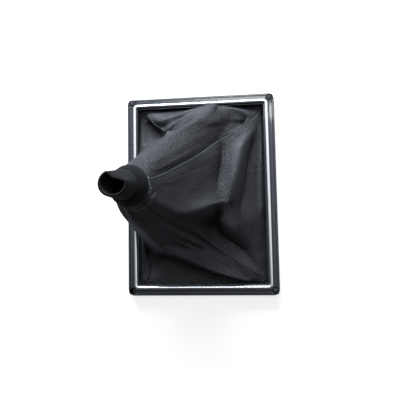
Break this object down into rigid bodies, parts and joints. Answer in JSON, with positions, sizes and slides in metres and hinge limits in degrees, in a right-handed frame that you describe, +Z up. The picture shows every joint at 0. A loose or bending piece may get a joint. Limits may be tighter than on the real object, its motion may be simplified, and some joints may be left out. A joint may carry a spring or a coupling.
{
  "type": "gear lever gaiter",
  "caption": "Leatherette gaiter sewn from panels, folded and leaning to a ribbed knitted neck, clamped in a rectangular gloss surround with a chrome trim ring.",
  "frame": {"origin": "middle of the surround's footprint, on the plane of its underside", "axes": "+X to the right and +Y to the rear of the console as the picture shows them, +Z up out of the console"},
  "size_m": [0.12, 0.16, 0.1007],
  "materials": {
    "gloss_surround": "gloss moulded plastic, dark blue-grey",
    "chrome_trim": "bright chrome plating",
    "backing_plastic": "plain matt moulding",
    "cap_plastic": "satin moulded plastic",
    "leatherette": "fine grained black leatherette, soft sheen",
    "neck_knit": "black ribbed elastic knit"
  },
  "bodies": {
    "root": {"surround_frame": "gloss_surround", "chrome_ring": "chrome_trim", "retaining_frame": "backing_plastic", "rear_left_cap": "cap_plastic", "rear_right_cap": "cap_plastic", "front_right_cap": "cap_plastic", "rear_panel": "leatherette", "right_panel": "leatherette", "front_panel": "leatherette", "left_panel": "leatherette", "neck_sleeve": "neck_knit"}
  },
  "joints": []
}
